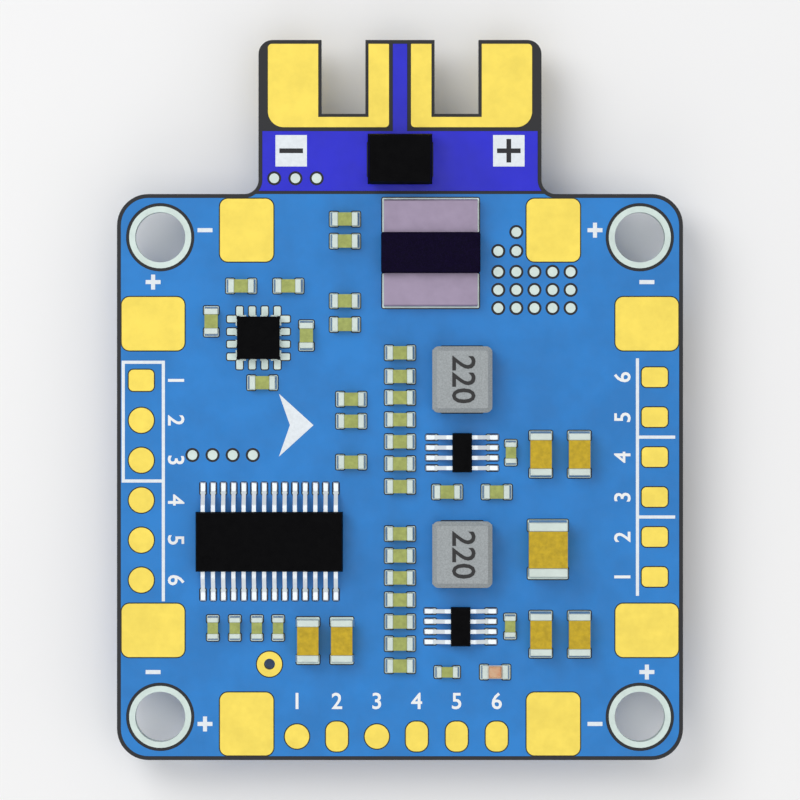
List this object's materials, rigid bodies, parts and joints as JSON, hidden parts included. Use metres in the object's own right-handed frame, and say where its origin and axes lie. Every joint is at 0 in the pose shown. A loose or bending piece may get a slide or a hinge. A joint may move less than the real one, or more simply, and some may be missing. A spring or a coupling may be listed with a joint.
{
  "type": "multirotor flight controller board",
  "caption": "Square blue flight controller board with corner mounting holes, gold power pads, a slotted battery tab, sensor and regulator parts, and a card socket and button underneath.",
  "frame": {"origin": "centre of the four mounting holes on the laminate's underside", "axes": "+Z out of the face with the power pads, +Y towards the battery tab, +X the forward direction that the printed arrow shows"},
  "size_m": [0.036, 0.0458, 0.0063],
  "materials": {
    "laminate": "matte",
    "blue_mask": "satin",
    "indigo_mask": "satin",
    "gold_plate": "plated",
    "tin_plate": "tinned",
    "white_ink": "printed",
    "black_mould": "moulded",
    "lead_tin": "tinned",
    "shunt_coat": "coated",
    "shunt_metal": "plated",
    "ferrite": "moulded",
    "amber_ceramic": "fired",
    "olive_ceramic": "fired",
    "terminal_tin": "tinned",
    "white_plastic": "moulded",
    "lens": "clear",
    "crystal_ceramic": "fired",
    "sheet_steel": "drawn",
    "black_plastic": "moulded",
    "contact_gold": "plated",
    "button_plastic": "moulded",
    "card_plastic": "moulded"
  },
  "bodies": {
    "board": {"battery_negative_pads": "gold_plate", "battery_positive_pads": "gold_plate", "boot_button_base": "black_plastic", "boot_button_cover": "sheet_steel", "boot_button_terminals": "lead_tin", "bottom_signal_pads": "gold_plate", "bottom_solder_mask": "blue_mask", "capacitor_bodies": "amber_ceramic", "capacitor_terminals": "terminal_tin", "card_socket_base": "black_plastic", "card_socket_contacts": "contact_gold", "card_socket_shell": "sheet_steel", "circuit_board": "laminate", "crystal_base": "crystal_ceramic", "crystal_lid": "sheet_steel", "display_chip_body": "black_mould", "display_chip_leads": "lead_tin", "gyro_body": "black_mould", "gyro_contacts": "tin_plate", "inductor_bodies": "ferrite", "inductor_terminals": "terminal_tin", "lamp_bases": "white_plastic", "lamp_lenses": "lens", "lamp_terminals": "terminal_tin", "left_signal_pads": "gold_plate", "logic_regulator_body": "black_mould", "logic_regulator_leads": "lead_tin", "mounting_hole_rings": "tin_plate", "narrow_part_bodies": "olive_ceramic", "narrow_part_terminals": "terminal_tin", "negative_motor_pads": "gold_plate", "positive_motor_pads": "gold_plate", "processor_body": "black_mould", "processor_leads": "lead_tin", "regulator_bodies": "black_mould", "regulator_leads": "lead_tin", "right_signal_pads": "gold_plate", "shunt_body": "shunt_coat", "shunt_terminals": "shunt_metal", "silkscreen": "white_ink", "small_part_bodies": "olive_ceramic", "small_part_terminals": "terminal_tin", "stitching_vias": "tin_plate", "surge_clamp_body": "black_mould", "surge_clamp_terminals": "lead_tin", "tab_solder_mask": "indigo_mask", "test_eyelet": "gold_plate", "top_lands": "tin_plate", "top_solder_mask": "blue_mask", "underside_lands": "tin_plate", "underside_part_bodies": "olive_ceramic", "underside_part_terminals": "terminal_tin", "usb_contacts": "contact_gold", "usb_shell": "sheet_steel", "usb_tongue": "black_plastic"},
    "boot_button": {"boot_button_plunger": "button_plastic", "boot_button_dome": "sheet_steel"},
    "card": {"memory_card": "card_plastic", "memory_card_contacts": "contact_gold"}
  },
  "joints": [
    {"name": "boot_button_press", "type": "slide", "parent": "board", "child": "boot_button", "axis": [0, 0, 1], "range_m": [0, 0.00025], "stiffness_N_per_m": 6400},
    {"name": "card_slide", "type": "slide", "parent": "board", "child": "card", "axis": [1, 0, 0], "range_m": [0, 0.0125]}
  ]
}
